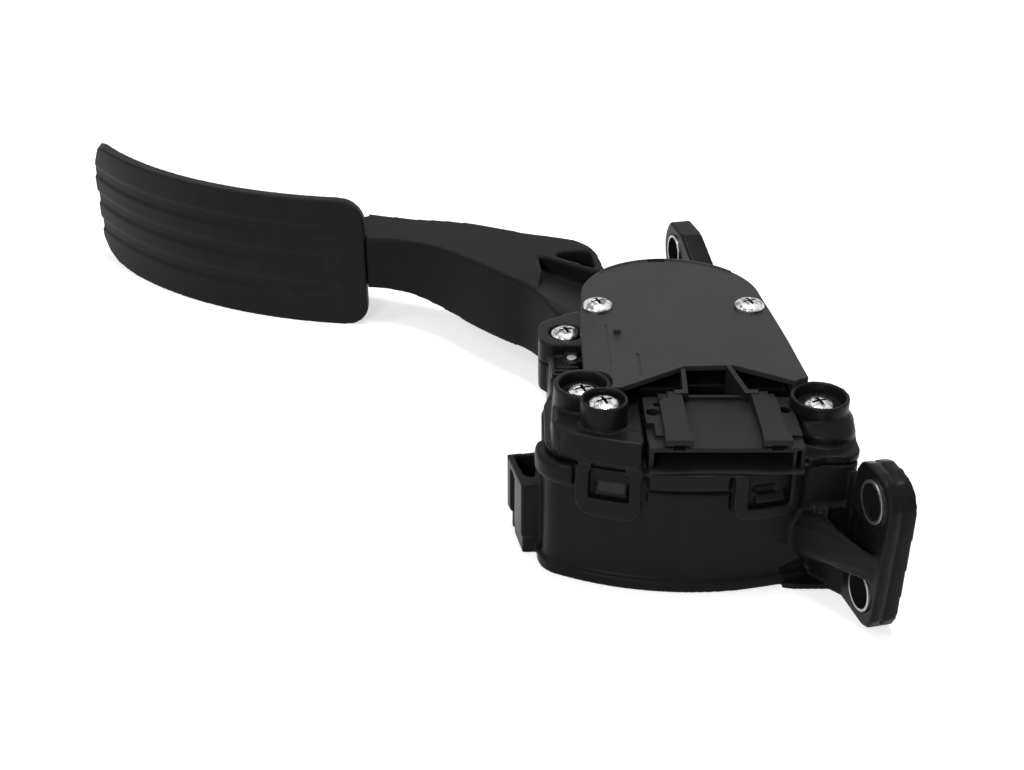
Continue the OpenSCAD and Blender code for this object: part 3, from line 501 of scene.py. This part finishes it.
# The left shoulder of the cover: the middle of its screw tower, the lower and upper edge of its skirt, and the
# hollow under it
SHOULDER = (-31, -66.4)
SHOULDER_BACK = [(-15.4, -74), (-33, -66)]
SKIRT_LOW = (round_post(SHOULDER, ((192, 9.0), (208, 9.9), (224, 11.4), (240, 13.2)))
             + [on_wall(a, 0, 87.3, 0)[:2] for a in (-20, -17, -14, -11.5, -10.3)] + SHOULDER_BACK)
SKIRT_HIGH = (round_post(SHOULDER, [(a, 8.5) for a in (186, 201, 216, 231, 246)])
              + [on_wall(a, 0, 81.3, 0)[:2] for a in (-21.5, -18, -14, -10.7)] + SHOULDER_BACK)
SKIRT_FOOT, SKIRT_TOP = 40.7, 45.7
UNDER_SKIRT = ((-31.5, -90, 40.1), (-14.6, -82.2, 41.4))

# The right tower's waist is cut round its middle. The left window is turned to lie along the wall
WAIST_REACH = ((27, -90, 40.6), (60, -62, 45.2))
WAIST_MIDDLE, WAIST_RADIUS = (36.9, -65), 9.2
LEFT_WINDOW, LEFT_WINDOW_TURN = ((-29.1, -84.9, 36.2), (-19.7, -80.9, 41)), -16.4


def shape_cover(piece):
    """The waist of the right tower, the window over the left catch, and the skirt of the left shoulder."""
    waist = block(*WAIST_REACH)
    carve(waist, drum(WAIST_MIDDLE, WAIST_RADIUS, 38, 47))
    carve(piece, waist)
    carve(piece, block(*LEFT_WINDOW, turn=LEFT_WINDOW_TURN))
    skirt = hull_of(at_height(SKIRT_LOW, SKIRT_FOOT) + at_height(SKIRT_HIGH, SKIRT_TOP))
    carve(piece, block(*UNDER_SKIRT))
    join(piece, [skirt])


# Metres: the parting line round the edge of the flange
FLANGE_START_X = -0.0128
PARTING_BAND = (-0.0043, -0.0034)
PARTING_DEPTH = 0.00038
PARTING_CLEAR = 0.003


def part_flange(piece):
    """Draws in the points of the parting band along their normals."""
    bpy.ops.object.mode_set(mode="EDIT")
    bpy.ops.mesh.select_mode(type="VERT")
    bpy.ops.mesh.select_all(action="DESELECT")
    bpy.ops.object.mode_set(mode="OBJECT")
    for point in piece.data.vertices:
        x, y, z = point.co
        point.select = (x > FLANGE_START_X and PARTING_BAND[0] < y < PARTING_BAND[1]
                        and z > FLOOR_Z + PARTING_CLEAR)
    bpy.ops.object.mode_set(mode="EDIT")
    bpy.ops.transform.shrink_fatten(value=-PARTING_DEPTH)
    bpy.ops.object.mode_set(mode="OBJECT")


# Pieces


def start_from(node, name):
    """A new piece with the CAD node's mesh, its loose triangles joined at their corners."""
    bpy.ops.object.select_all(action="DESELECT")
    piece = bpy.data.objects.new(name, nodes[node].data.copy())
    bpy.context.scene.collection.objects.link(piece)
    bpy.context.view_layer.objects.active = piece
    piece.select_set(True)
    bpy.ops.object.mode_set(mode="EDIT")
    bpy.ops.mesh.select_all(action="SELECT")
    bpy.ops.mesh.remove_doubles(threshold=1e-6)
    bpy.ops.object.mode_set(mode="OBJECT")
    return piece


def soften(piece, voxel, rounds):
    """Gives every edge and inside corner the small radius that a moulded part has."""
    apply_modifier(piece, "REMESH", mode="VOXEL", voxel_size=voxel, adaptivity=0.0)
    apply_modifier(piece, "SMOOTH", factor=0.5, iterations=rounds)


def settle(piece, node):
    """The finished piece stands for its CAD node and takes its finish."""
    piece.data.materials.clear()
    piece.data.materials.append(finishes[slot_of[node]])
    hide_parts(node)
    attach(piece, body_of[node])


def mould(node, name, voxel, rounds, keep=1.0, before=None, after=None):
    """Makes a piece with soft edges. The voxel is in metres, and keep is the share of faces that stays."""
    piece = start_from(node, name)
    if before:
        before(piece)
    soften(piece, voxel, rounds)
    if after:
        after(piece)
    if keep < 1:
        apply_modifier(piece, "DECIMATE", ratio=keep)
    bpy.ops.object.shade_smooth()
    settle(piece, node)


mould("pedal_pad", "pad_skin", voxel=0.0005, rounds=7)
mould("pedal_arm", "arm_skin", voxel=0.0006, rounds=4)
mould("upper_cover", "cover_skin", voxel=0.0004, rounds=4, keep=0.6, before=shape_cover)
mould("housing", "housing_skin", voxel=0.00045, rounds=5, keep=0.33, before=shape_housing, after=part_flange)

# Studio

# The camera of the photograph: its place in metres, its direction, its lens and film width in millimetres
CAMERA_PLACE = Vector((0.27734, -0.16892, 0.21932))
CAMERA_AZIMUTH, CAMERA_ELEVATION = math.radians(77), math.radians(29)
CAMERA_LENS, FILM_WIDTH = 49.22, 36
NEAR, FAR = 0.02, 20
camera_data = bpy.data.cameras.new("camera")
camera_data.lens, camera_data.sensor_width = CAMERA_LENS, FILM_WIDTH
camera_data.clip_start, camera_data.clip_end = NEAR, FAR
camera = bpy.data.objects.new("camera", camera_data)
bpy.context.scene.collection.objects.link(camera)
camera.location = CAMERA_PLACE
look = Vector((-math.sin(CAMERA_AZIMUTH) * math.cos(CAMERA_ELEVATION),
               math.cos(CAMERA_AZIMUTH) * math.cos(CAMERA_ELEVATION), -math.sin(CAMERA_ELEVATION)))
camera.rotation_mode = "QUATERNION"
camera.rotation_quaternion = look.to_track_quat("-Z", "Y")
bpy.context.scene.camera = camera

# Each lamp points at the middle of the module
MODULE_MIDDLE = Vector((-0.12, -0.07, 0.0))


def softbox(name, place, size, power):
    """A square lamp at a place, its size in metres and its power in watts."""
    lamp = bpy.data.lights.new(name, "AREA")
    lamp.shape, lamp.size, lamp.energy = "SQUARE", size, power
    holder = bpy.data.objects.new(name, lamp)
    bpy.context.scene.collection.objects.link(holder)
    holder.location = place
    holder.rotation_mode = "QUATERNION"
    holder.rotation_quaternion = (MODULE_MIDDLE - Vector(place)).to_track_quat("-Z", "Y")


softbox("lamp_over", (-0.16, 0.02, 0.75), size=0.3, power=4.2)
softbox("lamp_front", (0.55, -0.5, 0.4), size=0.22, power=2.3)
softbox("lamp_left", (-0.1, -0.6, 0.5), size=0.18, power=0.7)

# The room is white to look at and in reflections, and gives the module only dim light
ROOM_LIGHT = 0.3
world = bpy.data.worlds.new("studio")
bpy.context.scene.world = world
room = Wiring(world)
seen = room.seen_by("Is Camera Ray", "Is Glossy Ray", "Is Transmission Ray")
dim = room.shader("ShaderNodeBackground", {"Color": grey(1), "Strength": ROOM_LIGHT})
white = room.shader("ShaderNodeBackground", {"Color": grey(1), "Strength": 1.0})
room.node("ShaderNodeOutputWorld", None,
          {"Surface": room.shader("ShaderNodeMixShader", {0: seen, 1: dim, 2: white})})

# The floor keeps the shadow, and glows a little to the camera and in reflections, so that it meets the room
FLOOR_SIZE, FLOOR_TONE, FLOOR_GLOW = 8, 0.8, 0.6
bpy.ops.object.select_all(action="DESELECT")
bpy.ops.mesh.primitive_plane_add(size=FLOOR_SIZE, location=(0, 0, FLOOR_Z))
floor = bpy.context.object
floor.name = "floor"
floor_pale = bpy.data.materials.new("floor_pale")
paint = Wiring(floor_pale)
diffuse = paint.shader("ShaderNodeBsdfDiffuse", {"Color": grey(FLOOR_TONE)})
glow = paint.shader("ShaderNodeEmission", {"Color": grey(1), "Strength": FLOOR_GLOW})
lit = paint.shader("ShaderNodeAddShader", {0: diffuse, 1: glow})
seen = paint.seen_by("Is Camera Ray", "Is Glossy Ray")
paint.node("ShaderNodeOutputMaterial", None,
           {"Surface": paint.shader("ShaderNodeMixShader", {0: seen, 1: diffuse, 2: lit})})
floor.data.materials.append(floor_pale)

bpy.context.scene.view_settings.view_transform = "Standard"
